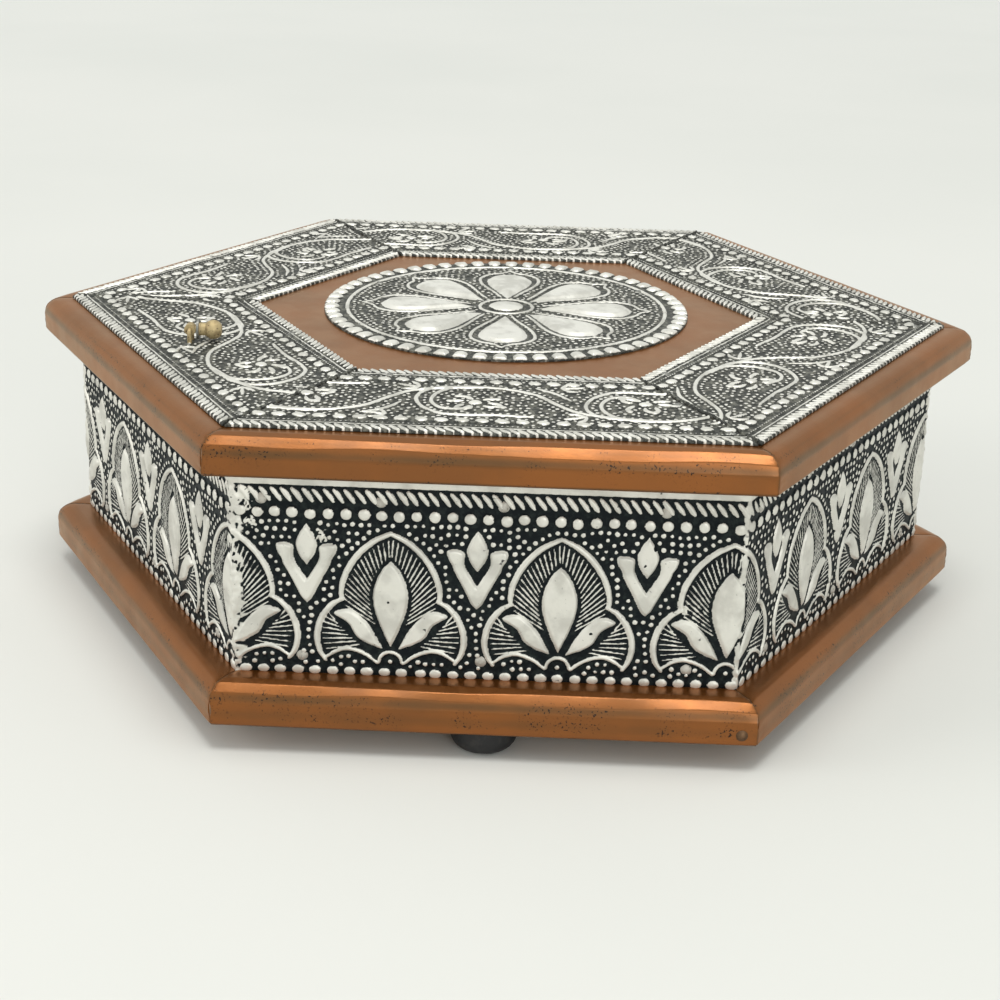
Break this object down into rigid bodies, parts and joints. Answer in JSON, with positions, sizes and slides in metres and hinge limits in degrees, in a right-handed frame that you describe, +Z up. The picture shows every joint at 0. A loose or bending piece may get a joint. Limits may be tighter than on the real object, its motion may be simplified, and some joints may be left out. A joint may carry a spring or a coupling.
{
  "type": "trinket box",
  "caption": "Hexagonal wooden trinket box clad in copper and embossed tin, with a hinged lid, cloth lining, rubber feet and a small brass pull.",
  "frame": {"origin": "on the floor under the middle of the box", "axes": "+Z up; the lid opens at the front, -Y; the hinges are at the back, +Y; corners of the hexagon lie on +X and -X"},
  "size_m": [0.2286, 0.198, 0.0757],
  "materials": {
    "embossed_tin": "embossed tin sheet, raised work rubbed bright, black patina in the ground",
    "copper_sheet": "thin copper sheet, dulled, pitted and worn bright on the folds",
    "steel_nails": "small round-headed tinned nails, dulled",
    "carcass_wood": "plain softwood board",
    "lining_cloth": "short-pile lining cloth glued to the wood",
    "black_rubber": "matt black rubber",
    "hinge_brass": "rolled brass, dulled",
    "pull_brass": "turned brass, worn and tarnished",
    "grey_steel": "thin grey steel washer"
  },
  "bodies": {
    "box": {"base_board": "carcass_wood", "plinth_trim_front": "copper_sheet", "plinth_trim_front_right": "copper_sheet", "plinth_trim_back_right": "copper_sheet", "plinth_trim_back": "copper_sheet", "plinth_trim_back_left": "copper_sheet", "plinth_trim_front_left": "copper_sheet", "plinth_nails": "steel_nails", "foot_front_right": "black_rubber", "foot_back": "black_rubber", "foot_front_left": "black_rubber", "wall_front": "carcass_wood", "wall_front_right": "carcass_wood", "wall_back_right": "carcass_wood", "wall_back": "carcass_wood", "wall_back_left": "carcass_wood", "wall_front_left": "carcass_wood", "side_band": "embossed_tin", "side_band_nails": "steel_nails", "floor_lining": "lining_cloth", "wall_lining": "lining_cloth", "hinge_leaf_body_left": "hinge_brass", "hinge_leaf_body_right": "hinge_brass", "hinge_pin_left": "hinge_brass", "hinge_pin_right": "hinge_brass", "hinge_body_screws": "hinge_brass"},
    "lid": {"lid_board": "carcass_wood", "lid_trim_front": "copper_sheet", "lid_trim_front_right": "copper_sheet", "lid_trim_back_right": "copper_sheet", "lid_trim_back": "copper_sheet", "lid_trim_back_left": "copper_sheet", "lid_trim_front_left": "copper_sheet", "lid_sheet": "copper_sheet", "lid_lining": "lining_cloth", "lid_band_front": "embossed_tin", "lid_band_front_right": "embossed_tin", "lid_band_back_right": "embossed_tin", "lid_band_back": "embossed_tin", "lid_band_back_left": "embossed_tin", "lid_band_front_left": "embossed_tin", "lid_band_nails": "steel_nails", "medallion": "embossed_tin", "medallion_nails": "steel_nails", "hinge_leaf_lid_left": "hinge_brass", "hinge_leaf_lid_right": "hinge_brass", "hinge_lid_screws": "hinge_brass", "pull_staple": "pull_brass"},
    "pull": {"pull_knob": "pull_brass", "pull_washer": "grey_steel"}
  },
  "joints": [
    {"name": "lid_hinge", "type": "hinge", "parent": "box", "child": "lid", "pos_m": [0, 0.093, 0.0594], "axis": [-1, 0, 0], "range_deg": [0, 110]},
    {"name": "pull_swing", "type": "hinge", "parent": "lid", "child": "pull", "pos_m": [-0.0044, -0.0792, 0.0734], "axis": [0.8788, -0.4772, 0], "range_deg": [0, 180]}
  ]
}
